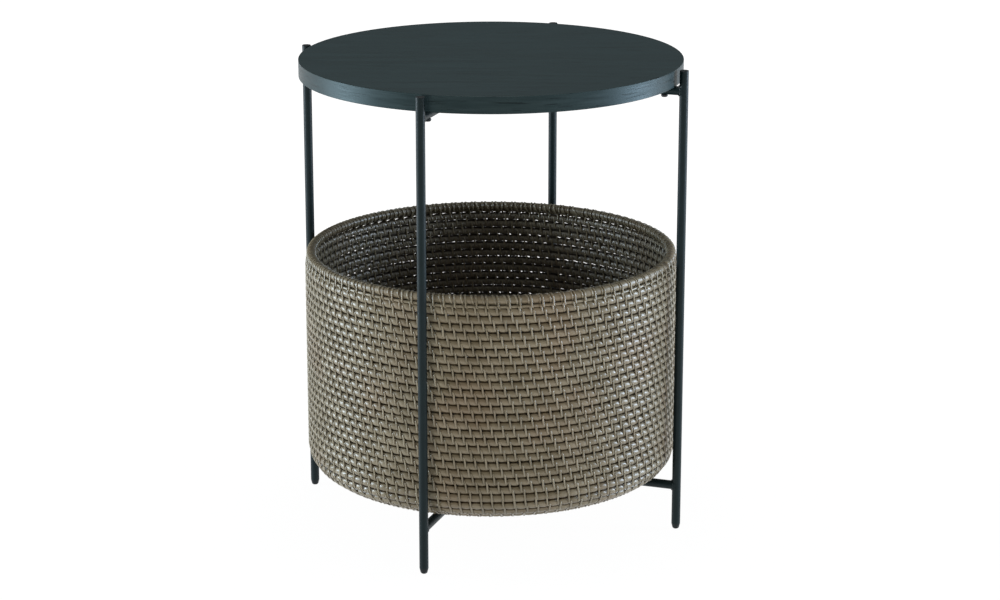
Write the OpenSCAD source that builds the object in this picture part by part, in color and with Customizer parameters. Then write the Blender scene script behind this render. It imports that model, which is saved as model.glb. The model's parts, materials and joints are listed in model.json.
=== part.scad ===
// Round side table: a veneered top, four tube legs, two welded rod crosses
// and a loose coiled basket that stands on the lower cross.
// The origin is on the floor under the middle of the top, +Z is up and the front leg is at -Y.

/* [Top] */
// Diameter of the round top
top_d = 430; // [424:1:436]
// Thickness of the board with its veneers
top_t = 19; // [17:1:22]
// Height of the top's face above the floor
top_h = 534; // [480:1:600]
// Thickness of the face and backing veneers
veneer_t = 0.8; // [0.6:0.1:1.2]
// Thickness of the edge strip
edge_t = 1; // [0.6:0.1:1.5]

/* [Frame] */
// Outer diameter of the leg tubes and the cross rods
tube_d = 10; // [9:0.5:11]
// Wall of the leg tubes
tube_wall = 1.2; // [1:0.1:1.5]
// Overall width across two opposite legs
frame_w = 457; // [454:1:520]
// Height of the leg ends above the floor
leg_h = 533; // [520:1:600]
// Height of the lower cross rods' axis above the floor
lower_cross_z = 52; // [30:1:80]
// Throat of the weld beads
weld_t = 1.1; // [0.8:0.1:1.6]

/* [Leg ends] */
// Height of a glide's bullet-shaped head
glide_head_h = 6.5; // [6.5:0.5:10]
// Radius of the flat end that a glide stands on
glide_flat_r = 1.4; // [1:0.1:1.5]
// Radius of the round edge between the flat end and the taper
glide_edge_r = 2.6; // [2:0.1:2.6]
// Taper of a glide's side in degrees
glide_taper = 14; // [14:1:25]
// Height of a top plug's head
plug_head_h = 1; // [0.8:0.1:2]
// Edge radius of a top plug's head
plug_edge_r = 0.5; // [0.3:0.1:0.7]
// Length of the stem that sits in the tube
stem_l = 12; // [8:1:20]

/* [Screws] */
// Distance of the screws from the table's axis
screw_r = 201.5; // [190:0.5:205]
// Thread diameter
screw_d = 4; // [3.5:0.1:4.5]
// Length under the head
screw_l = 25; // [20:1:26]
// Diameter of the pan head
screw_head_d = 7.6; // [7:0.1:9]
// Height of the pan head
screw_head_h = 2.8; // [2.2:0.1:3.2]

/* [Basket] */
// Outer diameter of the basket's wall
basket_d = 423.4; // [400:0.2:430]
// Height of the basket from its floor to the rim's crown
basket_h = 258; // [200:1:320]
// Diameter of one coil
coil_d = 8.4; // [7:0.1:9]
// Distance between neighbouring coils
coil_pitch = 9.2; // [8.6:0.1:11]
// Outer radius of the rounded lower corner
corner_r = 29; // [20:1:35]
// Outer diameter over the bound rim
rim_outer_d = 419.6; // [400:0.2:424]
// Thickness of the bound rim
rim_d = 10.4; // [9:0.1:12]
// Thickness of the cane hoop inside the rim
rim_core_d = 7.4; // [6:0.1:8]
// Thickness of the thin locking strand under the rim
strand_d = 2.6; // [2:0.1:3]

/* [Hidden] */
$fn = 96;
round_fn = 180;
coil_fn = 24;

// Directions of the four legs, seen from the table's axis
front = 270;
right = 0;
back = 90;
left = 180;
LEG_ANGLES = [front, right, back, left];

// Board
core_r = top_d / 2 - edge_t;
edge_arris = 0.4;
top_under = top_h - top_t;
hole_play = 0.1;
clearance_hole_d = screw_d + 0.5;
hole_past_tip = 0.5;

// Frame
rod_r = tube_d / 2;
leg_r = frame_w / 2 - rod_r;
bore_d = tube_d - 2 * tube_wall;
upper_cross_z = top_under - rod_r;
weld_gap = 0.05;
bead_skin = 0.02;
bead_side = 0.3;

// Stems of the leg ends
stem_d = bore_d - 1.2;
fin_d = bore_d - 0.04;
fin_t = 0.6;
fin_count = 3;

// Screws
screw_seat_z = upper_cross_z - rod_r;
screw_tip_l = 4;
screw_tip_d = 0.6;
head_edge_r = 1.8;
recess_l = 4.4;
recess_w = 0.9;
recess_depth = 1.6;

// Basket, which rests just above the lower cross rods
rest_gap = 0.3;
basket_z = lower_cross_z + rod_r + rest_gap;
coil_r = coil_d / 2;
wall_mid_r = basket_d / 2 - coil_r;
corner_mid_r = corner_r - coil_r;
corner_x = wall_mid_r - corner_mid_r;
corner_z = basket_z + corner_r;
rim_mid_r = (rim_outer_d - rim_d) / 2;
rim_z = basket_z + basket_h - rim_d / 2;
layer_gap = 0.1;
strand_mid_r = wall_mid_r + 1;
strand_z = rim_z - rim_d / 2 - layer_gap - strand_d / 2;
wall_top_z = strand_z - strand_d / 2 - layer_gap;
web_t = 5;

// Coils are counted down the straight wall and on round the corner
straight_l = wall_top_z - corner_z;
path_l = straight_l + corner_mid_r * PI / 2;
coil_count = floor((path_l - coil_r) / coil_pitch) + 1;
last_angle = coil_angle(coil_count - 1);
floor_r = corner_x + corner_mid_r * cos(last_angle) - 2 * coil_r;

// Distance of coil i below the top of the wall, along the wall
function coil_path(i) = coil_r + i * coil_pitch;

// Degrees that coil i has gone round the corner
function coil_angle(i) = (coil_path(i) - straight_l) / corner_mid_r * 180 / PI;

// Radius and height of coil i
function coil_centre(i) =
    coil_path(i) <= straight_l
        ? [wall_mid_r, wall_top_z - coil_path(i)]
        : [corner_x + corner_mid_r * cos(coil_angle(i)), corner_z - corner_mid_r * sin(coil_angle(i))];

// Half outline of a round head whose lower edge is rounded
module head_outline(r, h, edge_r) {
    translate([0, edge_r]) square([r, h - edge_r]);
    square([r - edge_r, edge_r]);
    intersection() {
        translate([r - edge_r, edge_r]) circle(r = edge_r);
        square([r, edge_r]);
    }
}

// Half outline of a glide's head, whose side leaves the round edge at a tangent and widens to the tube
module glide_outline() {
    edge_centre = [glide_flat_r, glide_edge_r];
    taper_foot = edge_centre + glide_edge_r * [cos(glide_taper), -sin(glide_taper)];
    taper_h = (rod_r - taper_foot.x) / tan(glide_taper);
    polygon([
        [0, 0],
        [glide_flat_r, 0],
        edge_centre,
        taper_foot,
        [rod_r, taper_foot.y + taper_h],
        [rod_r, glide_head_h],
        [0, glide_head_h]
    ]);
    intersection() {
        translate(edge_centre) circle(r = glide_edge_r);
        translate([glide_flat_r, 0]) square(glide_edge_r);
    }
}

// Stem with fins that grip the inside of a tube
module stem() {
    cylinder(d = stem_d, h = stem_l);
    for (i = [1 : fin_count]) {
        translate([0, 0, stem_l * i / (fin_count + 0.5)]) cylinder(d = fin_d, h = fin_t);
    }
}

module at_leg(angle) {
    rotate([0, 0, angle]) translate([leg_r, 0, 0]) children();
}

// Upright cylinder at distance x from the axis, centred on the height z
module upright(x, z, r) {
    translate([x, 0, z - tube_d]) cylinder(r = r, h = 2 * tube_d);
}

// Cylinder that lies along X
module lying(x0, x1, z, r) {
    translate([x0, 0, z]) rotate([0, 90, 0]) cylinder(r = r, h = x1 - x0);
}

module screw_holes(z, d, h) {
    for (angle = LEG_ANGLES) {
        rotate([0, 0, angle]) translate([screw_r, 0, z]) cylinder(d = d, h = h);
    }
}

module table_top_core() {
    color([0.62, 0.5, 0.36]) difference() {
        translate([0, 0, top_under + veneer_t])
            cylinder(r = core_r, h = top_t - 2 * veneer_t, $fn = round_fn);
        screw_holes(screw_seat_z, screw_d + hole_play, screw_l + hole_past_tip);
    }
}

module table_top_face_veneer() {
    color([0.2, 0.22, 0.22]) translate([0, 0, top_h - veneer_t])
        cylinder(r = core_r, h = veneer_t, $fn = round_fn);
}

module table_top_backing_veneer() {
    color([0.2, 0.22, 0.22]) difference() {
        translate([0, 0, top_under]) cylinder(r = core_r, h = veneer_t, $fn = round_fn);
        screw_holes(screw_seat_z, clearance_hole_d, screw_l);
    }
}

module table_top_edge_strip() {
    color([0.38, 0.44, 0.47]) rotate_extrude($fn = round_fn) polygon([
        [core_r, top_under],
        [core_r + edge_t - edge_arris, top_under],
        [core_r + edge_t, top_under + edge_arris],
        [core_r + edge_t, top_h - edge_arris],
        [core_r + edge_t - edge_arris, top_h],
        [core_r, top_h]
    ]);
}

module leg_tube(angle) {
    color([0.19, 0.22, 0.23]) at_leg(angle) difference() {
        translate([0, 0, glide_head_h]) cylinder(r = rod_r, h = leg_h - plug_head_h - glide_head_h);
        cylinder(d = bore_d, h = leg_h);
    }
}

module leg_top_plug(angle) {
    color([0.16, 0.18, 0.19]) at_leg(angle) translate([0, 0, leg_h]) mirror([0, 0, 1]) {
        rotate_extrude() head_outline(rod_r, plug_head_h, plug_edge_r);
        translate([0, 0, plug_head_h]) stem();
    }
}

module leg_glide(angle) {
    color([0.12, 0.13, 0.13]) at_leg(angle) {
        rotate_extrude() glide_outline();
        translate([0, 0, glide_head_h]) stem();
    }
}

// Rod from leg to leg, its ends coped to the tubes
module cross_long_rod(z, hole_d) {
    color([0.17, 0.2, 0.21]) difference() {
        lying(-leg_r, leg_r, z, rod_r);
        upright(leg_r, z, rod_r + weld_gap);
        upright(-leg_r, z, rod_r + weld_gap);
        if (hole_d > 0) {
            upright(screw_r, z, hole_d / 2);
            upright(-screw_r, z, hole_d / 2);
        }
    }
}

// Rod from the long rod to one leg, coped at both ends
module cross_short_rod(angle, z, hole_d) {
    color([0.17, 0.2, 0.21]) rotate([0, 0, angle]) difference() {
        lying(0, leg_r, z, rod_r);
        upright(leg_r, z, rod_r + weld_gap);
        rotate([0, 0, 90]) lying(-tube_d, tube_d, z, rod_r + weld_gap);
        if (hole_d > 0) {
            upright(screw_r, z, hole_d / 2);
        }
    }
}

// A bead fills the corner within the weld's throat of both tubes, its sides dressed back to the leg's width
module leg_weld_beads(z) {
    color([0.15, 0.17, 0.18]) for (angle = LEG_ANGLES) {
        rotate([0, 0, angle]) difference() {
            intersection() {
                lying(leg_r - tube_d, leg_r, z, rod_r + weld_t);
                upright(leg_r, z, rod_r + weld_t);
                translate([leg_r - tube_d, -rod_r - bead_side, z - tube_d])
                    cube([tube_d, tube_d + 2 * bead_side, 2 * tube_d]);
            }
            upright(leg_r, z, rod_r + bead_skin);
            lying(leg_r - 2 * tube_d, leg_r + tube_d, z, rod_r + bead_skin);
        }
    }
}

// The middle bead is ground flush with the top of the rods
module middle_weld_bead(z) {
    color([0.15, 0.17, 0.18]) difference() {
        intersection() {
            lying(-tube_d, tube_d, z, rod_r + weld_t);
            rotate([0, 0, 90]) lying(-tube_d, tube_d, z, rod_r + weld_t);
        }
        lying(-2 * tube_d, 2 * tube_d, z, rod_r + bead_skin);
        rotate([0, 0, 90]) lying(-2 * tube_d, 2 * tube_d, z, rod_r + bead_skin);
        translate([-tube_d, -tube_d, z + rod_r - bead_skin]) cube(2 * tube_d);
    }
}

module top_screws() {
    color([0.1, 0.1, 0.11]) for (angle = LEG_ANGLES) {
        rotate([0, 0, angle]) translate([screw_r, 0, screw_seat_z]) {
            difference() {
                translate([0, 0, -screw_head_h]) rotate_extrude()
                    head_outline(screw_head_d / 2, screw_head_h, head_edge_r);
                for (turn = [0, 90]) {
                    rotate([0, 0, turn]) translate([-recess_l / 2, -recess_w / 2, -screw_head_h - 1])
                        cube([recess_l, recess_w, recess_depth + 1]);
                }
            }
            cylinder(d = screw_d, h = screw_l - screw_tip_l);
            translate([0, 0, screw_l - screw_tip_l])
                cylinder(d1 = screw_d, d2 = screw_tip_d, h = screw_tip_l);
        }
    }
}

module basket_floor_coil() {
    color([0.5, 0.46, 0.39]) rotate_extrude($fn = round_fn) {
        translate([0, basket_z]) square([floor_r, coil_d]);
        intersection() {
            translate([floor_r, basket_z + coil_r]) circle(r = coil_r, $fn = coil_fn);
            translate([floor_r, basket_z]) square([coil_r, coil_d]);
        }
    }
}

// The wall's coils, joined by a thinner web along their middles
module basket_wall_coil() {
    color([0.55, 0.52, 0.45]) rotate_extrude($fn = round_fn) {
        for (i = [0 : coil_count - 1]) {
            translate(coil_centre(i)) circle(r = coil_r, $fn = coil_fn);
        }
        translate([wall_mid_r - web_t / 2, corner_z]) square([web_t, straight_l - coil_r]);
        translate([corner_x, corner_z]) difference() {
            circle(r = corner_mid_r + web_t / 2);
            circle(r = corner_mid_r - web_t / 2);
            translate([-corner_r, 0]) square(2 * corner_r);
            rotate(-last_angle) translate([-2 * corner_r, -2 * corner_r])
                square([4 * corner_r, 2 * corner_r]);
        }
    }
}

module basket_locking_strand() {
    color([0.5, 0.46, 0.39]) rotate_extrude($fn = round_fn)
        translate([strand_mid_r, strand_z]) circle(d = strand_d, $fn = coil_fn);
}

module basket_rim_core() {
    color([0.66, 0.55, 0.4]) rotate_extrude($fn = round_fn)
        translate([rim_mid_r, rim_z]) circle(d = rim_core_d - 2 * layer_gap, $fn = coil_fn);
}

module basket_rim_binding() {
    color([0.58, 0.55, 0.48]) rotate_extrude($fn = round_fn) translate([rim_mid_r, rim_z]) difference() {
        circle(d = rim_d, $fn = coil_fn);
        circle(d = rim_core_d, $fn = coil_fn);
    }
}

table_top_core();
table_top_face_veneer();
table_top_backing_veneer();
table_top_edge_strip();
leg_tube(front);  // front_leg_tube
leg_tube(right);  // right_leg_tube
leg_tube(back);  // back_leg_tube
leg_tube(left);  // left_leg_tube
leg_top_plug(front);  // front_leg_top_plug
leg_top_plug(right);  // right_leg_top_plug
leg_top_plug(back);  // back_leg_top_plug
leg_top_plug(left);  // left_leg_top_plug
leg_glide(front);  // front_leg_glide
leg_glide(right);  // right_leg_glide
leg_glide(back);  // back_leg_glide
leg_glide(left);  // left_leg_glide
cross_long_rod(upper_cross_z, clearance_hole_d);  // upper_cross_long_rod
cross_short_rod(front, upper_cross_z, clearance_hole_d);  // upper_cross_front_rod
cross_short_rod(back, upper_cross_z, clearance_hole_d);  // upper_cross_back_rod
cross_long_rod(lower_cross_z, 0);  // lower_cross_long_rod
cross_short_rod(front, lower_cross_z, 0);  // lower_cross_front_rod
cross_short_rod(back, lower_cross_z, 0);  // lower_cross_back_rod
leg_weld_beads(upper_cross_z);  // upper_leg_weld_beads
leg_weld_beads(lower_cross_z);  // lower_leg_weld_beads
middle_weld_bead(upper_cross_z);  // upper_middle_weld_bead
middle_weld_bead(lower_cross_z);  // lower_middle_weld_bead
top_screws();
basket_floor_coil();
basket_wall_coil();
basket_locking_strand();
basket_rim_core();
basket_rim_binding();
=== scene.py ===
"""Looks of the round side table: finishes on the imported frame, and the basket woven coil by coil."""
import json
import math

import bpy
import numpy as np
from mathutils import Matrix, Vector

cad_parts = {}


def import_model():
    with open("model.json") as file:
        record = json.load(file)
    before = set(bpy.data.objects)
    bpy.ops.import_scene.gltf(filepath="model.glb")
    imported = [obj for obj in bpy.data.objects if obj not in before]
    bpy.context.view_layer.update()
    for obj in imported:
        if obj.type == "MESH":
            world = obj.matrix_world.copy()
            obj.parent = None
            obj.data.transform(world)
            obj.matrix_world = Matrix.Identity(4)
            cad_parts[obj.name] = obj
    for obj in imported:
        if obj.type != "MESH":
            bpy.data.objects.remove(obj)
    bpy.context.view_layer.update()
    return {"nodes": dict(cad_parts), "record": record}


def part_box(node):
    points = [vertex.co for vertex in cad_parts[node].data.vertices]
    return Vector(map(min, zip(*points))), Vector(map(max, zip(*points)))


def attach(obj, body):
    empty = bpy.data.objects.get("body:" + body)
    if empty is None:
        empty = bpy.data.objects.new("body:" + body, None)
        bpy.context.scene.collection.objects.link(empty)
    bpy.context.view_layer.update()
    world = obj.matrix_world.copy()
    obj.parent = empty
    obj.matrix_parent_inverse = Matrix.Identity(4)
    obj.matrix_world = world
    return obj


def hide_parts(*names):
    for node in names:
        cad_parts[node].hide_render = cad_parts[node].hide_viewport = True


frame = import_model()
rng = np.random.default_rng(7)

# Photograph's view: camera place, aim and lens, fitted to the legs, the top and the basket
CAMERA_AZIMUTH = 19.34
CAMERA_DISTANCE = 3.0106
CAMERA_HEIGHT = 1.1282
CAMERA_PITCH = 16.25
CAMERA_YAW = -0.19
LENS = 98.54
SENSOR = 36.0

# Weave, in metres. The coil is full between its stitches and drawn in under each one
COIL_D = 0.0093
COIL_PITCH = 0.0092
CORNER_R = 0.029
STITCHES_PER_TURN = 105.63
STITCH_W = 0.0023
STITCH_T = 0.0011
LEAN_OUTSIDE = 0.0029
LEAN_INSIDE = 0.0036

# The rim is a hoop of thick cane. One strip binds it in pairs of turns, and the second of each pair also
# goes round the locking strand below
HOOP_INSET = 0.0003
HOOP_UNEVEN = 0.01
HOOP_DRAWN_IN = 0.05
HOOP_DRAWN_IN_REACH = 0.26
STRAND_EXTRA = 0.0004
RIM_LEAN = 0.0034
STEPS_PER_WRAP = 24

# Stitches lie unevenly round the wall: degrees right of the camera's side, and degrees from stitch to stitch
STITCH_SPACING = ((-180, 3.4), (-25, 3.4), (-6, 3.2), (20, 3.42), (45, 3.6), (70, 3.5), (180, 3.4))

# The turns of a pair lie close together here and evenly there: degrees as above, and metres between them
PAIR_SPREAD = ((-180, 0.0038), (-120, 0.0056), (-30, 0.0054), (10, 0.0036), (90, 0.0030), (180, 0.0038))

# The coil steps down one row in this part of each turn, which ends at this angle from +X. Its upper end
# starts this part of a step before the first row and tapers to this radius. At the middle of the floor it
# comes no nearer to the axis than this many of its own radii, and goes round there for this part of a turn
STEP_SHARE = 0.28
STEP_END = math.radians(80)
FIRST_TUCK = 0.7
THINNEST_END = 0.0009
MIDDLE_GAP = 1.1
LAST_TUCK = 0.4

# A stitch draws the coil in by one share across it, by another from above and below, which changes from row
# to row, and for a share of the space between stitches. Stitches wander by a share of that space
RINGS_PER_STITCH = 8
COIL_SIDES = 16
COIL_UNEVEN = 0.012
DRAWN_IN = 0.18
DRAWN_IN_HEIGHT = 0.17
DRAWN_IN_REACH = 0.2
DRAWN_IN_CHANGE = 0.95
ROW_UNEVEN = 0.0001
STITCH_WANDER = 0.035


# Sizes read from the frame

_, wall_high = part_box("basket_wall_coil")
floor_low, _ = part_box("basket_floor_coil")
rim_low, rim_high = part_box("basket_rim_binding")
strand_low, strand_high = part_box("basket_locking_strand")

coil_r = COIL_D / 2
wall_mid_r = wall_high.x - coil_r
corner_mid_r = CORNER_R - coil_r
corner_x = wall_mid_r - corner_mid_r
corner_z = floor_low.z + CORNER_R
straight_l = wall_high.z - corner_z
corner_l = corner_mid_r * math.pi / 2
path_l = straight_l + corner_l + corner_x

rim_r = (rim_high.z - rim_low.z) / 2
rim_mid_r = rim_high.x - rim_r
rim_z = (rim_high.z + rim_low.z) / 2
strand_r = (strand_high.z - strand_low.z) / 2 + STRAND_EXTRA
strand_mid_r = strand_high.x + STRAND_EXTRA - strand_r
strand_z = (strand_high.z + strand_low.z) / 2


# Mesh building

def smooth(t):
    t = np.clip(t, 0, 1)
    return t * t * (3 - 2 * t)


def unit(v):
    return v / np.linalg.norm(v, axis=-1, keepdims=True)


def strips(name, rings, along, closed=False, beside=None):
    """A mesh of K tubes from rings shaped (K, R, S, 3). along, (K, R), is a pattern coordinate along each."""
    count, steps, sides = rings.shape[:3]
    index = np.arange(count * steps * sides).reshape(count, steps, sides)
    here = index if closed else index[:, :-1]
    there = np.roll(index, -1, axis=1) if closed else index[:, 1:]
    quads = np.stack([here, np.roll(here, -1, axis=2), np.roll(there, -1, axis=2), there], -1)
    loops = quads.reshape(-1)
    starts = np.arange(0, loops.size, 4)
    if not closed:
        caps = np.concatenate([index[:, 0, ::-1], index[:, -1]]).reshape(-1)
        starts = np.concatenate([starts, loops.size + np.arange(0, caps.size, sides)])
        loops = np.concatenate([loops, caps])
    mesh = bpy.data.meshes.new(name)
    mesh.vertices.add(rings.size // 3)
    mesh.vertices.foreach_set("co", rings.reshape(-1).astype(np.float32))
    mesh.loops.add(loops.size)
    mesh.loops.foreach_set("vertex_index", loops.astype(np.int32))
    mesh.polygons.add(starts.size)
    mesh.polygons.foreach_set("loop_start", starts.astype(np.int32))
    mesh.update(calc_edges=True)
    mesh.shade_smooth()

    shape = quads.shape[:3]
    around_it = np.broadcast_to(np.arange(sides) / sides, shape)
    around_it = np.stack([around_it, around_it + 1 / sides, around_it + 1 / sides, around_it], -1)
    add_map(mesh, "weave", corners_along(along, shape, closed), around_it)
    if beside is not None:
        add_map(mesh, "next_row", corners_along(beside, shape, closed), around_it)
    add_bake_map(mesh, shape, around_it, 0 if closed else 2 * count)
    obj = bpy.data.objects.new(name, mesh)
    bpy.context.scene.collection.objects.link(obj)
    return obj


def corners_along(along, shape, closed):
    """The value of along at the four corners of each face."""
    first = along if closed else along[:, :-1]
    last = np.roll(along, -1, axis=1) if closed else along[:, 1:]
    if closed:
        last[:, -1] = 2 * along[:, -1] - along[:, -2]
    first, last = (np.broadcast_to(v[:, :, None], shape) for v in (first, last))
    return np.stack([first, first, last, last], -1)


def add_map(mesh, name, u, v):
    """A map from values at the corners of the strips' faces. The caps stay at zero."""
    uv = np.zeros((len(mesh.loops), 2), np.float32)
    flat = np.stack([u, v], -1).reshape(-1, 2)
    uv[: len(flat)] = flat
    mesh.uv_layers.new(name=name).data.foreach_set("uv", uv.reshape(-1))


def add_bake_map(mesh, shape, around_it, caps):
    """A map without overlaps: a cell for each strip, a lone one folded into rows, and the caps above."""
    count, spans, sides = shape
    rows = 24 if count == 1 else math.ceil(math.sqrt(count * 5))
    columns = 1 if count == 1 else math.ceil(count / rows)
    per_cell = math.ceil(spans / rows) if count == 1 else spans
    span = np.broadcast_to(np.arange(spans)[None, :, None], shape)
    cell = span // per_cell if count == 1 else np.broadcast_to(np.arange(count)[:, None, None], shape)
    start = (span % per_cell) / per_cell
    along = np.stack([start, start, start + 1 / per_cell, start + 1 / per_cell], -1)
    strips_share = 0.97
    u = ((cell // rows)[..., None] + 0.02 + 0.96 * along) / columns
    v = ((cell % rows)[..., None] + 0.04 + 0.92 * around_it) / rows * strips_share
    flat = np.stack([u, v], -1).reshape(-1, 2)
    if caps:
        turn = 2 * math.pi * np.arange(sides) / sides
        centre = (np.arange(caps) + 0.5) / caps
        size = min(0.4 / caps, 0.4 * (1 - strips_share))
        cap_u = centre[:, None] + size * np.cos(turn)[None]
        cap_v = (1 + strips_share) / 2 + size * np.sin(turn)[None].repeat(caps, 0)
        flat = np.concatenate([flat, np.stack([cap_u, cap_v], -1).reshape(-1, 2)])
    mesh.uv_layers.new(name="OFBake").data.foreach_set("uv", flat.astype(np.float32).reshape(-1))


def in_space(radius, height, angle):
    """Points from distances to the axis, heights and angles."""
    return np.stack([radius * np.cos(angle), radius * np.sin(angle), height], -1)


def directions(angle):
    """Unit vectors away from the axis, along it and round it."""
    zero, one = np.zeros_like(angle), np.ones_like(angle)
    away = np.stack([np.cos(angle), np.sin(angle), zero], -1)
    up = np.stack([zero, zero, one], -1)
    round_it = np.stack([-np.sin(angle), np.cos(angle), zero], -1)
    return away, up, round_it


def waves(turn, size, seed):
    """Slow unevenness along the coil, a sum of waves that don't repeat from turn to turn."""
    waves_per_turn = (3.6, 7.3, 11.7, 19.1)
    phases = np.random.default_rng(seed).uniform(0, 2 * math.pi, len(waves_per_turn))
    return size * sum(np.sin(2 * math.pi * f * turn + p) for f, p in zip(waves_per_turn, phases)) / 2


# The coil's path: down the wall, round the corner and in to the middle of the floor

def rows_down(turn):
    """How many rows the coil has gone down, in steps with level parts between them."""
    whole = np.floor(turn)
    return whole + smooth((turn - whole - 1 + STEP_SHARE) / STEP_SHARE)


def coil_thickness_r(turn):
    """Radius of the coil, which tapers where its upper end tucks in above the first step."""
    room = (COIL_PITCH * smooth((turn + STEP_SHARE) / STEP_SHARE) - (COIL_PITCH - COIL_D)) / 2
    return np.where(turn < 0, np.clip(room, THINNEST_END, coil_r), coil_r)


def coil_centre(turn):
    """Distance to the axis and height of the coil, then the same for its outward direction."""
    path = np.where(turn < 0, coil_thickness_r(turn), coil_r + COIL_PITCH * rows_down(turn))
    path = np.minimum(path, path_l - coil_r * MIDDLE_GAP)
    on_wall = path < straight_l
    bend = np.clip((path - straight_l) / corner_mid_r, 0, math.pi / 2)
    inward = np.clip(path - straight_l - corner_l, 0, None)
    radius = np.where(on_wall, wall_mid_r, corner_x + corner_mid_r * np.cos(bend) - inward)
    height = np.where(on_wall, wall_high.z - path, corner_z - corner_mid_r * np.sin(bend))
    out_r, out_z = np.cos(bend), -np.sin(bend)
    uneven = row_unevenness(turn) * smooth(turn) * smooth((path_l - path) / (3 * COIL_PITCH))
    return radius + uneven * out_z, height - uneven * out_r, out_r, out_z


def row_unevenness(turn):
    """How far a row lies off its even place, so that light comes through some gaps and not others."""
    waves_per_turn = (0.5, 0.43, 0.31, 2.7, 4.4)
    phases = (0.4, 2.1, 5.0, 1.2, 3.9)
    return ROW_UNEVEN * sum(np.cos(2 * math.pi * f * turn + p) for f, p in zip(waves_per_turn, phases)) / 2


FIRST_TURN = -STEP_SHARE * FIRST_TUCK
LAST_TURN = math.ceil((path_l - coil_r) / COIL_PITCH)
fine_turns = np.linspace(FIRST_TURN, LAST_TURN, 90001)


def degrees_right(angle):
    """Degrees to the right of the side that faces the camera."""
    return (np.degrees(angle) + 90 - CAMERA_AZIMUTH + 180) % 360 - 180


def count_stitches():
    """Number of stitches up to each of the fine turns, fewer in a turn as the floor's rows get smaller."""
    rate = 1 / np.interp(degrees_right(STEP_END + 2 * math.pi * fine_turns), *zip(*STITCH_SPACING))
    in_last_turn = fine_turns >= LAST_TURN - 1
    rate *= STITCHES_PER_TURN / rate[in_last_turn].mean()
    rate *= np.clip(coil_centre(fine_turns)[0] / wall_mid_r, 0.02, 1)
    return np.concatenate([[0], np.cumsum((rate[1:] + rate[:-1]) / 2 * np.diff(fine_turns))])


stitches_so_far = count_stitches()
at_middle = coil_centre(fine_turns)[0] < coil_r * (MIDDLE_GAP + 0.01)
end_turn = fine_turns[np.argmax(at_middle)] + LAST_TUCK
stitch_space = 2 * math.pi * wall_mid_r / STITCHES_PER_TURN


def turn_of_stitch(number):
    return np.interp(number, stitches_so_far, fine_turns)


def stitch_of_turn(turn):
    return np.interp(turn, fine_turns, stitches_so_far)


def near_stitch(number, centre):
    """1 on the line of a stitch, falling to 0 beside it."""
    off = number - centre
    return np.exp(-(((off - np.round(off)) / DRAWN_IN_REACH) ** 2))


def pull(turn):
    """How far a stitch draws the coil in from above and below, more in some rows than in others."""
    waves_per_turn, phase = 0.37, 1.3
    return DRAWN_IN_HEIGHT * (1 + DRAWN_IN_CHANGE * np.sin(2 * math.pi * waves_per_turn * turn + phase))


def coil_piece(name, first, last):
    """The coil between two turns, drawn in where its own stitches and the next row's lie on it."""
    ring_first, ring_last = (math.floor(stitch_of_turn(t) * RINGS_PER_STITCH) for t in (first, last))
    number = np.arange(ring_first, ring_last + 1) / RINGS_PER_STITCH
    turn = turn_of_stitch(number)
    next_number = stitch_of_turn(turn + 1)
    angle = STEP_END + 2 * math.pi * turn
    radius, height, out_r, out_z = coil_centre(turn)
    away, up, _ = directions(angle)
    outward = away * out_r[:, None] + up * out_z[:, None]
    upward = -away * out_z[:, None] + up * out_r[:, None]
    side = 2 * math.pi * (np.arange(COIL_SIDES) + 0.5) / COIL_SIDES
    rise, face = np.sin(side)[None], np.cos(side)[None]
    own_line = np.where(face > 0, line_outside(rise), line_inside(rise))
    next_line = np.where(face > 0, line_outside(rise + 2), line_inside(rise + 2))
    # Its own stitches lie on its upper part and its middle, and those of the next row on the rest
    own = near_stitch(number[:, None], own_line) * smooth(rise * 1.2 + 0.8)
    below = near_stitch(next_number[:, None], next_line) * smooth(0.8 - rise * 1.2)
    drawn = np.maximum(own, below)
    thick = coil_thickness_r(turn)[:, None] * (1 + waves(turn, COIL_UNEVEN, seed=5))[:, None]
    across = thick * (1 - DRAWN_IN * drawn) * face
    tall = thick * (1 - pull(turn)[:, None] * drawn) * rise
    centre = in_space(radius, height, angle)[:, None]
    rings = centre + outward[:, None] * across[..., None] + upward[:, None] * tall[..., None]
    return strips(name, rings[None], number[None], beside=next_number[None])


# Stitches

def sweep(points, normals, widths, thick, closed=False):
    """Rings of a flat strip along points (K, R, 3), with its domed face turned to the normals."""
    if closed:
        tangent = unit(np.roll(points, -1, axis=1) - np.roll(points, 1, axis=1))
    else:
        tangent = unit(np.gradient(points, axis=1))
    across = unit(np.cross(tangent, normals))
    normal = np.cross(across, tangent)
    x = np.array([0.5, 0.43, 0.0, -0.43, -0.5])
    y = np.array([-0.42, 0.2, 0.5, 0.2, -0.42])
    return (
        points[:, :, None]
        + across[:, :, None] * x[None, None, :, None] * widths[:, None, None, None]
        + normal[:, :, None] * y[None, None, :, None] * thick
    )


# A stitch comes out of the coil above, lies over the gap and goes into its own coil, which it crosses to
# do the same inside. Heights are in coil radii from the middle of its own coil
STITCH_FOOT = 0.3


def share_of_line(rise):
    """How far along its visible line a stitch is at a height of rise, 0 at its foot and 1 at its head."""
    return (rise + STITCH_FOOT) / (2 * COIL_PITCH / COIL_D + 2 * STITCH_FOOT)


def line_outside(rise):
    """Sideways place of the outer line, in stitches."""
    return LEAN_OUTSIDE / stitch_space * (0.5 - share_of_line(rise))


def line_inside(rise):
    """Sideways place of the inner line, in stitches."""
    return (LEAN_OUTSIDE * 0.5 + LEAN_INSIDE * share_of_line(rise)) / stitch_space


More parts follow.
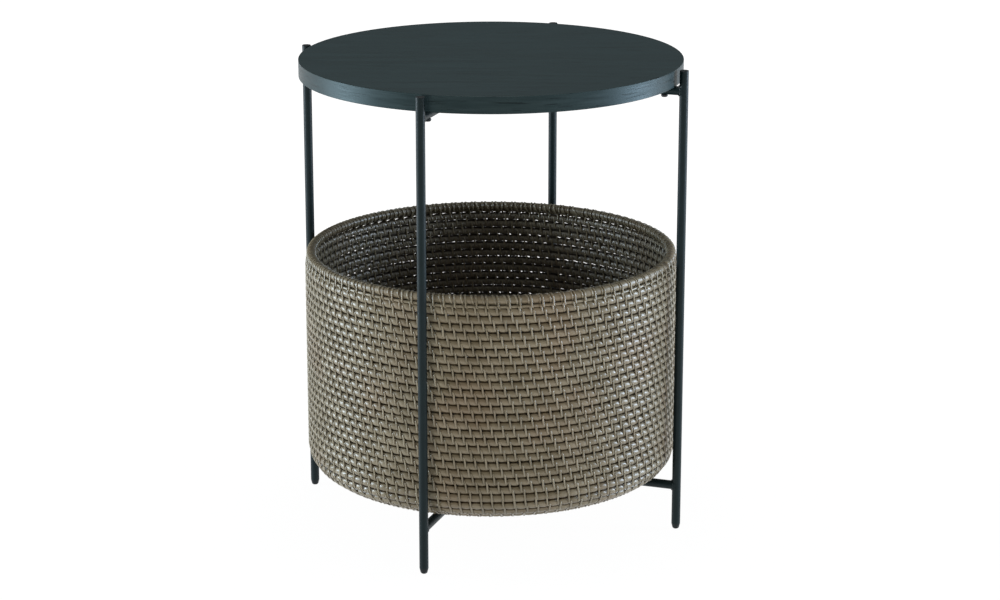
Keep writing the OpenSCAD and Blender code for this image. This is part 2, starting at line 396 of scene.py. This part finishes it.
def through_the_coils(reach, own_r, upper_r):
    """Places of a stitch between two coils: along the line of their centres, off it, and its normal."""
    own_b = own_r * (1 - DRAWN_IN) + STITCH_T / 2
    upper_b = upper_r * (1 - DRAWN_IN) + STITCH_T / 2
    a = [
        reach + upper_r * 0.52, reach + upper_r * STITCH_FOOT, reach - upper_r * 0.05,
        reach - upper_r, own_r * 0.05, -own_r * STITCH_FOOT, -own_r * 0.52,
    ]
    b = [
        upper_b * 0.72, upper_b * 0.97, upper_b,
        (upper_b + own_b) / 2 - 0.0002, own_b, own_b * 0.97, own_b * 0.72,
    ]
    tilt = np.radians([50, 14, 2, 0, -2, -14, -50])
    normal_a, normal_b = np.sin(tilt), np.cos(tilt)
    deepest = np.full_like(reach, -0.66) * own_r
    a = a + [deepest] + a[::-1]
    b = b + [np.zeros_like(reach)] + [-v for v in b[::-1]]
    normal_a = np.concatenate([normal_a, [-1], normal_a[::-1]])
    normal_b = np.concatenate([normal_b, [0], -normal_b[::-1]])
    share = np.interp(np.arange(len(a)), [0, 6, 8, 14], [-0.5, 0.5, 0.5, 1.5])
    return np.stack(a, 1), np.stack(b, 1), normal_a, normal_b, share


def stitch_piece(name, angle, own, own_r, upper, upper_r, numbers):
    """Stitches from a coil to the strand above. own and upper are (distance to the axis, height) at each."""
    count = len(angle)
    gap = upper - own
    reach = np.linalg.norm(gap, axis=1)
    toward = gap / reach[:, None]
    outer = np.stack([toward[:, 1], -toward[:, 0]], -1)
    a, b, normal_a, normal_b, share = through_the_coils(reach, own_r, upper_r)
    lean = rng.uniform(0.75, 1.25, count)[:, None]
    leans = [-LEAN_OUTSIDE / 2, LEAN_OUTSIDE / 2, LEAN_OUTSIDE / 2 + LEAN_INSIDE]
    sideways = lean * np.interp(share, [-0.5, 0.5, 1.5], leans)
    flat = own[:, None] + toward[:, None] * a[..., None] + outer[:, None] * b[..., None]
    flat_normal = toward[:, None] * normal_a[None, :, None] + outer[:, None] * normal_b[None, :, None]
    away, up, round_it = (v[:, None] for v in directions(angle))
    points = away * flat[..., :1] + up * flat[..., 1:] + round_it * sideways[..., None]
    normals = away * flat_normal[..., :1] + up * flat_normal[..., 1:]
    widths = STITCH_W * rng.uniform(0.9, 1.1, count)
    rings = sweep(points, normals, widths, STITCH_T)
    along = numbers[:, None] + np.linspace(0.05, 0.95, len(share))[None]
    return strips(name, rings, along)


def coil_stitches(name, first, last):
    """The stitches of the coil between two turns, each tied to the row above or to the locking strand."""
    numbers = np.arange(math.ceil(stitch_of_turn(first)), math.ceil(stitch_of_turn(last)), dtype=float)
    turn = turn_of_stitch(numbers + rng.uniform(-STITCH_WANDER, STITCH_WANDER, len(numbers)))
    above = turn - 1
    from_coil = above > FIRST_TURN
    own = np.stack(coil_centre(turn)[:2], -1)
    upper = np.stack(coil_centre(above)[:2], -1)
    upper = np.where(from_coil[:, None], upper, [strand_mid_r, strand_z])
    upper_r = np.where(from_coil, coil_thickness_r(above), strand_r)
    angle = STEP_END + 2 * math.pi * turn
    return stitch_piece(name, angle, own, coil_thickness_r(turn), upper, upper_r, numbers)


# Rim

def strand_piece(name):
    """The locking strand, a thin ring under the rim."""
    segments, sides = 432, 8
    angle = 2 * math.pi * np.arange(segments) / segments
    away, up, _ = directions(angle)
    side = 2 * math.pi * np.arange(sides) / sides
    spoke = away[:, None] * np.cos(side)[None, :, None] + up[:, None] * np.sin(side)[None, :, None]
    rings = in_space(strand_mid_r, np.full(segments, strand_z), angle)[:, None] + spoke * strand_r
    return strips(name, rings[None], np.arange(segments)[None] / 4.0, closed=True)


def pair_angles():
    """Angles of the pairs of turns round the rim, half a space from the stitches of the first row."""
    numbers = np.arange(math.floor(STITCHES_PER_TURN), dtype=float)
    numbers += 0.5 + rng.uniform(-STITCH_WANDER, STITCH_WANDER, len(numbers))
    return STEP_END + 2 * math.pi * turn_of_stitch(stitch_of_turn(0) + numbers)


def hoop_piece(name, pairs):
    """The hoop, drawn in under each pair of turns. Pairs lie at whole numbers of its pattern coordinate."""
    steps, sides = 12, 16
    ends = np.append(pairs, pairs[0] + 2 * math.pi)
    number = np.arange(len(pairs) * steps) / steps
    angle = np.interp(number, np.arange(len(ends)), ends)
    off = number - np.round(number)
    drawn = np.exp(-((off / HOOP_DRAWN_IN_REACH) ** 2))
    away, up, _ = directions(angle)
    side = 2 * math.pi * np.arange(sides) / sides
    spoke = away[:, None] * np.cos(side)[None, :, None] + up[:, None] * np.sin(side)[None, :, None]
    uneven = 1 + waves(number / len(pairs), HOOP_UNEVEN, seed=11)
    thick = (rim_r - HOOP_INSET) * (1 - HOOP_DRAWN_IN * drawn) * uneven
    rings = in_space(rim_mid_r, np.full(len(angle), rim_z), angle)[:, None] + spoke * thick[:, None, None]
    return strips(name, rings[None], number[None], closed=True)


def loop_outline(circles, side):
    """Places on a loop pulled tight round circles (distance to the axis, height, radius), and its normals."""
    normal = np.stack([np.cos(side), np.sin(side)], -1)
    places = np.stack([np.array(c[:2]) + c[2] * normal for c in circles])
    furthest = np.argmax((places * normal).sum(-1), axis=0)
    return places[furthest, np.arange(len(side))], normal


def rim_strip(name, pairs):
    """One strip wound round the hoop all the way, over its top, down outside and up inside."""
    turn = np.arange(STEPS_PER_WRAP) / STEPS_PER_WRAP
    side = math.pi / 2 - 2 * math.pi * turn
    lift = STITCH_T * 0.4
    hoop = (rim_mid_r, rim_z, (rim_r - HOOP_INSET) * (1 - HOOP_DRAWN_IN) + lift)
    strand = (strand_mid_r, strand_z, strand_r + lift)
    outlines = [loop_outline(circles, side) for circles in ([hoop], [hoop, strand])]
    spread = np.interp(degrees_right(pairs), *zip(*PAIR_SPREAD)) / rim_mid_r
    middle = (pairs[:, None] + np.array([-0.5, 0.5]) * spread[:, None]).reshape(-1)
    lean = RIM_LEAN / rim_mid_r * rng.uniform(0.8, 1.2, len(middle))
    heads, feet = middle - lean / 2, middle + lean / 2
    next_heads = np.append(heads[1:], heads[0] + 2 * math.pi)
    down, back_up = np.clip(turn * 2, 0, 1), np.clip(turn * 2 - 1, 0, 1)
    angle = heads[:, None] + (feet - heads)[:, None] * down + (next_heads - feet)[:, None] * back_up
    flat = np.stack([o[0] for o in outlines])[np.arange(len(middle)) % 2].reshape(-1, 2)
    flat_normal = np.stack([o[1] for o in outlines])[np.arange(len(middle)) % 2].reshape(-1, 2)
    angle = angle.reshape(-1)
    away, up, _ = directions(angle)
    normals = away * flat_normal[:, :1] + up * flat_normal[:, 1:]
    points = in_space(flat[:, 0], flat[:, 1], angle)
    rings = sweep(points[None], normals[None], np.array([STITCH_W]), STITCH_T, closed=True)
    along = np.arange(len(angle)) / STEPS_PER_WRAP
    return strips(name, rings, along[None], closed=True)


# Materials

def srgb(r, g, b):
    """Scene colour of an 8-bit screen colour."""
    def line(c):
        c /= 255
        return c / 12.92 if c <= 0.04045 else ((c + 0.055) / 1.055) ** 2.4
    return line(r), line(g), line(b), 1.0


class Nodes:
    """Short calls for building a material's node tree."""

    def __init__(self, name, roughness, specular=0.5, metallic=0.0, coat=0.0):
        self.material = bpy.data.materials.new(name)
        self.material.use_nodes = True
        self.tree = self.material.node_tree
        self.shader = self.tree.nodes["Principled BSDF"]
        self.shader.inputs["Roughness"].default_value = roughness
        self.shader.inputs["Specular IOR Level"].default_value = specular
        self.shader.inputs["Metallic"].default_value = metallic
        self.shader.inputs["Coat Weight"].default_value = coat

    def add(self, kind, **settings):
        node = self.tree.nodes.new(kind)
        for key, value in settings.items():
            setattr(node, key, value)
        return node

    def link(self, source, target):
        self.tree.links.new(source, target)

    def place(self, scale, turned=0):
        """Object coordinates, turned about Z and then stretched."""
        coordinate = self.add("ShaderNodeTexCoord")
        rotated = self.add("ShaderNodeMapping", vector_type="POINT")
        rotated.inputs["Rotation"].default_value = (0, 0, turned)
        stretched = self.add("ShaderNodeMapping", vector_type="POINT")
        stretched.inputs["Scale"].default_value = scale
        self.link(coordinate.outputs["Object"], rotated.inputs["Vector"])
        self.link(rotated.outputs["Vector"], stretched.inputs["Vector"])
        return stretched.outputs["Vector"]

    def strip_place(self, scale_u, scale_v):
        """Coordinates along and round a woven strand."""
        source = self.add("ShaderNodeUVMap", uv_map="weave")
        stretched = self.add("ShaderNodeMapping", vector_type="POINT")
        stretched.inputs["Scale"].default_value = (scale_u, scale_v, 1)
        self.link(source.outputs["UV"], stretched.inputs["Vector"])
        return stretched.outputs["Vector"]

    def noise(self, vector, detail):
        node = self.add("ShaderNodeTexNoise")
        node.inputs["Scale"].default_value = 1.0
        node.inputs["Detail"].default_value = detail
        node.inputs["Roughness"].default_value = 0.55
        self.link(vector, node.inputs["Vector"])
        return node.outputs["Fac"]

    def math(self, operation, a, b=None):
        node = self.add("ShaderNodeMath", operation=operation)
        for socket, value in zip(node.inputs, (a, b)):
            if value is None:
                continue
            if isinstance(value, (int, float)):
                socket.default_value = value
            else:
                self.link(value, socket)
        return node.outputs["Value"]

    def spread(self, value, low, high, to_low, to_high):
        """A smooth ramp from to_low, at a value of low, to to_high, at a value of high, and level beyond."""
        node = self.add("ShaderNodeMapRange", interpolation_type="SMOOTHSTEP")
        for name, number in zip(("From Min", "From Max", "To Min", "To Max"), (low, high, to_low, to_high)):
            node.inputs[name].default_value = number
        self.link(value, node.inputs["Value"])
        return node.outputs["Result"]

    def mix(self, factor, a, b, blend="MIX"):
        node = self.add("ShaderNodeMix", data_type="RGBA", blend_type=blend)
        for socket, value in ((node.inputs[0], factor), (node.inputs[6], a), (node.inputs[7], b)):
            if isinstance(value, (int, float, tuple)):
                socket.default_value = value
            else:
                self.link(value, socket)
        return node.outputs[2]

    def bump(self, height, strength, distance):
        node = self.add("ShaderNodeBump")
        node.inputs["Strength"].default_value = strength
        node.inputs["Distance"].default_value = distance
        self.link(height, node.inputs["Height"])
        self.link(node.outputs["Normal"], self.shader.inputs["Normal"])

    def colour(self, value):
        self.link(value, self.shader.inputs["Base Color"])

    def roughness(self, value):
        self.link(value, self.shader.inputs["Roughness"])


def veneer(name, dark, light, stretch, pore_size, roughness=0.5, specular=0.15, pore_tone=0.35,
           tint=(1, 1, 1, 1), turned=0):
    """Open-grained stained veneer, its grain along the axes that are stretched least, turned about Z."""
    m = Nodes(name, roughness, specular)
    m.shader.inputs["Specular Tint"].default_value = tint
    broad = m.noise(m.place(stretch, turned), detail=4)
    fine = m.noise(m.place(tuple(s * pore_size for s in stretch), turned), detail=2)
    tone = m.mix(m.spread(broad, 0.3, 0.7, 0, 1), dark, light)
    pores = m.spread(fine, 0.58, 0.72, 0, 1)
    m.colour(m.mix(m.math("MULTIPLY", pores, pore_tone), tone, (0, 0, 0, 1)))
    m.roughness(m.spread(broad, 0.3, 0.7, roughness - 0.05, roughness + 0.05))
    m.bump(m.math("MULTIPLY", pores, -1), 0.35, 0.0002)
    return m.material


def paint(name, colour, roughness=0.42, grain=1400):
    """Powder coat with a fine, even texture."""
    m = Nodes(name, roughness, specular=0.22)
    speckle = m.noise(m.place((grain,) * 3), detail=2)
    cloud = m.noise(m.place((40,) * 3), detail=2)
    m.colour(m.mix(m.spread(cloud, 0.35, 0.65, 0, 1), colour, tuple(c * 1.18 for c in colour[:3]) + (1,)))
    m.roughness(m.spread(speckle, 0.3, 0.7, roughness - 0.06, roughness + 0.08))
    m.bump(speckle, 0.12, 0.0001)
    return m.material


def screw_metal():
    m = Nodes("screw_black", 0.35, metallic=0.7)
    speckle = m.noise(m.place((900,) * 3), detail=3)
    m.colour(m.mix(m.spread(speckle, 0.3, 0.7, 0, 1), srgb(38, 39, 41), srgb(62, 63, 66)))
    m.roughness(m.spread(speckle, 0.3, 0.7, 0.28, 0.45))
    return m.material


def fibreboard():
    m = Nodes("board_core", 0.8)
    fibres = m.noise(m.place((300, 300, 900)), detail=5)
    m.colour(m.mix(m.spread(fibres, 0.35, 0.65, 0, 1), srgb(150, 118, 84), srgb(188, 158, 120)))
    m.bump(fibres, 0.3, 0.0003)
    return m.material


# Tones over the cane's own: painted shade for the gaps and grooves, brown outside and grey inside, then the
# greyer inside, and warm patches
PAINTED_SHADE_BROWN = srgb(66, 52, 30)
PAINTED_SHADE_GREY = srgb(62, 54, 42)
INSIDE_GREY = srgb(128, 122, 110)
WARM_CANE = srgb(138, 115, 90)


def cane(name, dark, light, fibres_per_stitch, fibres_round, roughness, coat_roughness=0.3):
    """Grey-washed cane with a slightly different tone from stitch to stitch, and its pattern coordinates."""
    m = Nodes(name, roughness, coat=0.5)
    m.shader.inputs["Coat Roughness"].default_value = coat_roughness
    place = m.add("ShaderNodeUVMap", uv_map="weave")
    split = m.add("ShaderNodeSeparateXYZ")
    m.link(place.outputs["UV"], split.inputs["Vector"])
    each = m.add("ShaderNodeTexWhiteNoise", noise_dimensions="1D")
    m.link(m.math("FLOOR", split.outputs["X"]), each.inputs["W"])
    fibres = m.noise(m.strip_place(fibres_per_stitch, fibres_round), detail=3)
    cloud = m.noise(m.place((55,) * 3), detail=3)
    each_share, fibre_share, cloud_share = 0.35, 0.35, 0.5
    tone = m.math("MULTIPLY", each.outputs["Value"], each_share)
    tone = m.math("ADD", tone, m.math("MULTIPLY", fibres, fibre_share))
    tone = m.math("ADD", tone, m.math("MULTIPLY", cloud, cloud_share))
    m.roughness(m.spread(fibres, 0.3, 0.7, roughness - 0.06, roughness + 0.08))
    m.bump(fibres, 0.25, 0.0001)
    colour = m.mix(m.spread(tone, 0.35, 0.85, 0, 1), dark, light)
    warm = m.spread(m.noise(m.place((16,) * 3), detail=2), 0.48, 0.68, 0, 0.32)
    return m, m.mix(warm, colour, WARM_CANE), split.outputs["X"], split.outputs["Y"]


def stitch_shade(m, name, leans, keep):
    """Painted shadow: 1 beside the stitches whose numbers a pattern map holds. leans are their sideways
    places at the coil's equator and at its top, outside and inside, and keep is the part of the coil's height
    they cover."""
    place = m.add("ShaderNodeUVMap", uv_map=name)
    split = m.add("ShaderNodeSeparateXYZ")
    m.link(place.outputs["UV"], split.inputs["Vector"])
    turn = m.math("MULTIPLY", split.outputs["Y"], 2 * math.pi)
    rise, face = m.math("SINE", turn), m.math("COSINE", turn)
    is_outside = m.math("GREATER_THAN", face, 0.0)
    lines = [m.math("ADD", m.math("MULTIPLY", rise, top - equator), equator) for equator, top in leans]
    line = m.math("ADD", m.math("MULTIPLY", is_outside, lines[0]),
                  m.math("MULTIPLY", m.math("SUBTRACT", 1.0, is_outside), lines[1]))
    # The hundred keeps the number positive, and the half puts the line at the middle of its span
    phase = m.math("FRACT", m.math("ADD", m.math("SUBTRACT", split.outputs["X"], line), 100.5))
    away = m.math("ABSOLUTE", m.math("SUBTRACT", phase, 0.5))
    # Widths of the painted shadow beside a stitch, in spaces between stitches
    dark_to, light_from = 0.09, 0.14
    return m.math("MULTIPLY", m.spread(away, dark_to, light_from, 1, 0), m.spread(rise, *keep, 0, 1))


def coil_cane():
    """Cane of the coil, with painted shade toward its neighbours and painted shadow beside each stitch,
    greyer inside the basket.
    """
    m, colour, _, around_it = cane("rattan_coil", srgb(116, 104, 80), srgb(140, 128, 104), 3, 16, 0.38)
    turn = m.math("MULTIPLY", around_it, 2 * math.pi)
    rise = m.math("SINE", turn)
    inside = m.spread(m.math("COSINE", turn), -0.2, 0.2, 1, 0)
    colour = m.mix(m.math("MULTIPLY", inside, 0.5), colour, INSIDE_GREY)
    # Painted shade, brown outside and grey inside, laid on where the coil turns into the gaps between coils
    painted_shade = m.mix(inside, PAINTED_SHADE_BROWN, PAINTED_SHADE_GREY)
    gap = m.spread(m.math("ABSOLUTE", rise), 0.7, 0.9, 0, 1)
    own = [(f(0), f(1)) for f in (line_outside, line_inside)]
    below = [(f(2), f(3)) for f in (line_outside, line_inside)]
    # Painted shadow beside the stitches of its own row and of the next row, laid on at 0.4 of the full shade
    own_stitch_shade = stitch_shade(m, "weave", own, (-0.5, -0.3))
    beside = m.math("MAXIMUM", own_stitch_shade, stitch_shade(m, "next_row", below, (0.5, 0.3)))
    m.colour(m.mix(m.math("MAXIMUM", gap, m.math("MULTIPLY", beside, 0.4)), colour, painted_shade))
    return m.material


def strip_cane():
    """Cane of the stitches and of the strip round the rim, with painted shade in brown in the grooves at its
    edges.
    """
    m, colour, _, around_it = cane("rattan_stitch", srgb(123, 112, 88), srgb(150, 139, 115), 6, 10, 0.32)
    top_of_dome = 0.4
    off = m.math("ABSOLUTE", m.math("SUBTRACT", around_it, top_of_dome))
    # Painted shade toward the strip's edges, where it sinks into the grooves
    m.colour(m.mix(m.spread(off, 0.2, 0.42, 0, 0.85), colour, PAINTED_SHADE_BROWN))
    return m.material


def hoop_cane():
    """Cane of the hoop, with painted shade in brown along both sides of each pair of turns."""
    m, colour, along, _ = cane("rattan_rim", srgb(113, 102, 79), srgb(136, 124, 101), 3, 16, 0.42, 0.4)
    off = m.math("ABSOLUTE", m.math("SUBTRACT", m.math("FRACT", m.math("ADD", along, 0.5)), 0.5))
    # Painted shade on the hoop about each pair of turns
    m.colour(m.mix(m.spread(off, 0.2, 0.3, 0.4, 0), colour, PAINTED_SHADE_BROWN))
    return m.material


def strand_cane():
    m, colour, _, _ = cane("rattan_strand", srgb(120, 110, 86), srgb(146, 135, 112), 3, 4, 0.38)
    m.colour(colour)
    return m.material


def cane_core():
    m = Nodes("rattan_core", 0.6)
    fibres = m.noise(m.place((200, 200, 500)), detail=4)
    m.colour(m.mix(m.spread(fibres, 0.3, 0.7, 0, 1), srgb(96, 80, 56), srgb(128, 110, 82)))
    m.bump(fibres, 0.2, 0.0002)
    return m.material


def give(obj, material):
    obj.data.materials.clear()
    obj.data.materials.append(material)


def finish_frame():
    """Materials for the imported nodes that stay."""
    grain = math.radians(-CAMERA_AZIMUTH)
    along_x = (9, 160, 160)
    round_the_rim = (20, 20, 420)
    looks = {
        "board_core": fibreboard(),
        "top_veneer": veneer("top_veneer", srgb(40, 56, 58), srgb(51, 67, 69), along_x, 3, turned=grain),
        "backing_veneer": veneer("backing_veneer", srgb(44, 49, 50), srgb(55, 61, 62), along_x, 3),
        "edge_veneer": veneer("edge_veneer", srgb(34, 46, 47), srgb(48, 60, 61), round_the_rim, 1.4,
                              roughness=0.42, specular=0.27, pore_tone=0.7, tint=(0.67, 0.94, 1.0, 1)),
        "frame_paint": paint("frame_paint", srgb(18, 31, 33)),
        "plug_plastic": paint("plug_plastic", srgb(30, 35, 37), 0.45, 900),
        "screw_black": screw_metal(),
        "rattan_core": cane_core(),
    }
    slots = {s["node"]: s["material_slot"] for s in frame["record"]["subparts"]}
    for node, obj in frame["nodes"].items():
        if slots[node] in looks:
            give(obj, looks[slots[node]])


# Basket

def weave_basket():
    """The coil and its stitches in pieces of several turns each, and the rim, on the basket's body."""
    coil_look = coil_cane()
    stitch_look = strip_cane()
    floor_turn = (straight_l + corner_l - coil_r) / COIL_PITCH
    wall_turns = (FIRST_TURN, 5.5, 11, 16.5, 22, floor_turn)
    floor_turns = (floor_turn, floor_turn + 4, end_turn)
    pieces = []
    for turns, part in ((wall_turns, "basket_wall"), (floor_turns, "basket_floor")):
        for i, (first, last) in enumerate(zip(turns, turns[1:]), 1):
            last_stitched = min(last, end_turn - 1)
            pieces += [
                (coil_piece(f"{part}_coil_{i}", first, last), coil_look, f"{part}_coil"),
                (coil_stitches(f"{part}_stitches_{i}", first, last_stitched), stitch_look, f"{part}_coil"),
            ]
    pairs = pair_angles()
    pieces += [
        (strand_piece("basket_strand"), strand_cane(), "basket_locking_strand"),
        (hoop_piece("basket_rim_hoop", pairs), hoop_cane(), "basket_rim_binding"),
        (rim_strip("basket_rim_strip", pairs), stitch_look, "basket_rim_binding"),
    ]
    for piece, look, node in pieces:
        give(piece, look)
        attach(piece, "basket")
        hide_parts(node)


# Stage, light and camera

# The floor glows for the camera, but near the table it leaves this share to real light and shadow. It gives
# back light as this grey does. The world's light is faint
FLOOR_GLOW = 1.09
FLOOR_SHADOW = 0.1
FLOOR_GREY = 0.3
WORLD_LIGHT = 0.18


def stage():
    """A floor that looks white, with a trace of shadow near the table, and gives back light as a grey one."""
    size = 6.0
    mesh = bpy.data.meshes.new("floor")
    corners = [(-size, -size, 0), (size, -size, 0), (size, size, 0), (-size, size, 0)]
    mesh.from_pydata(corners, [], [(0, 1, 2, 3)])
    floor = bpy.data.objects.new("floor", mesh)
    bpy.context.scene.collection.objects.link(floor)
    m = Nodes("stage_floor", 0.9, specular=0.0)
    m.shader.inputs["Base Color"].default_value = (FLOOR_GREY, FLOOR_GREY, FLOOR_GREY, 1)
    glow = m.add("ShaderNodeEmission")
    glow.inputs["Strength"].default_value = FLOOR_GLOW
    from_axis = m.add("ShaderNodeVectorMath", operation="LENGTH")
    m.link(m.place((1, 1, 1)), from_axis.inputs[0])
    share = m.spread(from_axis.outputs["Value"], 0.4, 1.1, 1 - FLOOR_SHADOW, 1)
    ray = m.add("ShaderNodeLightPath")
    seen = m.math("MAXIMUM", ray.outputs["Is Camera Ray"], ray.outputs["Is Glossy Ray"])
    seen = m.math("MAXIMUM", seen, ray.outputs["Is Transmission Ray"])
    blend = m.add("ShaderNodeMixShader")
    m.link(m.math("MULTIPLY", seen, share), blend.inputs["Fac"])
    m.link(m.shader.outputs["BSDF"], blend.inputs[1])
    m.link(glow.outputs["Emission"], blend.inputs[2])
    m.link(blend.outputs["Shader"], m.tree.nodes["Material Output"].inputs["Surface"])
    give(floor, m.material)


def world():
    """White where the camera sees it, and a faint white light on everything."""
    surroundings = bpy.data.worlds.new("surroundings")
    bpy.context.scene.world = surroundings
    surroundings.use_nodes = True
    tree = surroundings.node_tree
    background = tree.nodes["Background"]
    background.inputs["Color"].default_value = (1, 1, 1, 1)
    ray = tree.nodes.new("ShaderNodeLightPath")
    seen = tree.nodes.new("ShaderNodeMath")
    seen.operation = "MAXIMUM"
    tree.links.new(ray.outputs["Is Camera Ray"], seen.inputs[0])
    tree.links.new(ray.outputs["Is Transmission Ray"], seen.inputs[1])
    strength = tree.nodes.new("ShaderNodeMapRange")
    strength.inputs["To Min"].default_value = WORLD_LIGHT
    strength.inputs["To Max"].default_value = 1.0
    tree.links.new(seen.outputs["Value"], strength.inputs["Value"])
    tree.links.new(strength.outputs["Result"], background.inputs["Strength"])


def softbox(name, place, aim, width, height, power, colour=(1, 1, 1), glare=True, spread=180):
    """An area light in metres and watts. Its light leaves within spread, in degrees."""
    light = bpy.data.lights.new(name, "AREA")
    light.spread = math.radians(spread)
    light.shape = "RECTANGLE"
    light.size, light.size_y = width, height
    light.energy = power
    light.color = colour
    obj = bpy.data.objects.new(name, light)
    bpy.context.scene.collection.objects.link(obj)
    obj.visible_glossy = glare
    obj.location = place
    obj.rotation_euler = (Vector(aim) - Vector(place)).to_track_quat("-Z", "Y").to_euler()


def around(azimuth, distance, height):
    """A place round the table. Azimuth 0 is in front, at -Y, and 90 at +X."""
    a = math.radians(azimuth)
    return distance * math.sin(a), -distance * math.cos(a), height


def lights():
    middle = (0, 0, 0.3)
    softbox("left_softbox", around(CAMERA_AZIMUTH - 90, 2.0, 0.5), middle, 0.8, 1.0, 34, (0.84, 1.0, 1.13))
    softbox("right_softbox", around(CAMERA_AZIMUTH + 92, 2.0, 0.5), middle, 0.8, 1.0, 33, (0.8, 0.97, 1.18))
    rim = (0, 0, 0.34)
    for side, turned in (("left", -38), ("right", 38)):
        place = around(CAMERA_AZIMUTH + turned, 2.2, 0.22)
        softbox(f"low_{side}_softbox", place, rim, 1.0, 0.2, 1.24, glare=False, spread=50)
    softbox("top_softbox", (0, 0, 3.2), middle, 0.6, 0.6, 30)


def camera():
    data = bpy.data.cameras.new("camera")
    data.lens = LENS
    data.sensor_width = SENSOR
    obj = bpy.data.objects.new("camera", data)
    bpy.context.scene.collection.objects.link(obj)
    obj.location = around(CAMERA_AZIMUTH, CAMERA_DISTANCE, CAMERA_HEIGHT)
    obj.rotation_euler = (math.radians(90 - CAMERA_PITCH), 0, math.radians(CAMERA_AZIMUTH + CAMERA_YAW))
    bpy.context.scene.camera = obj


camera()
finish_frame()
weave_basket()
stage()
world()
lights()
bpy.context.scene.view_settings.view_transform = "Standard"
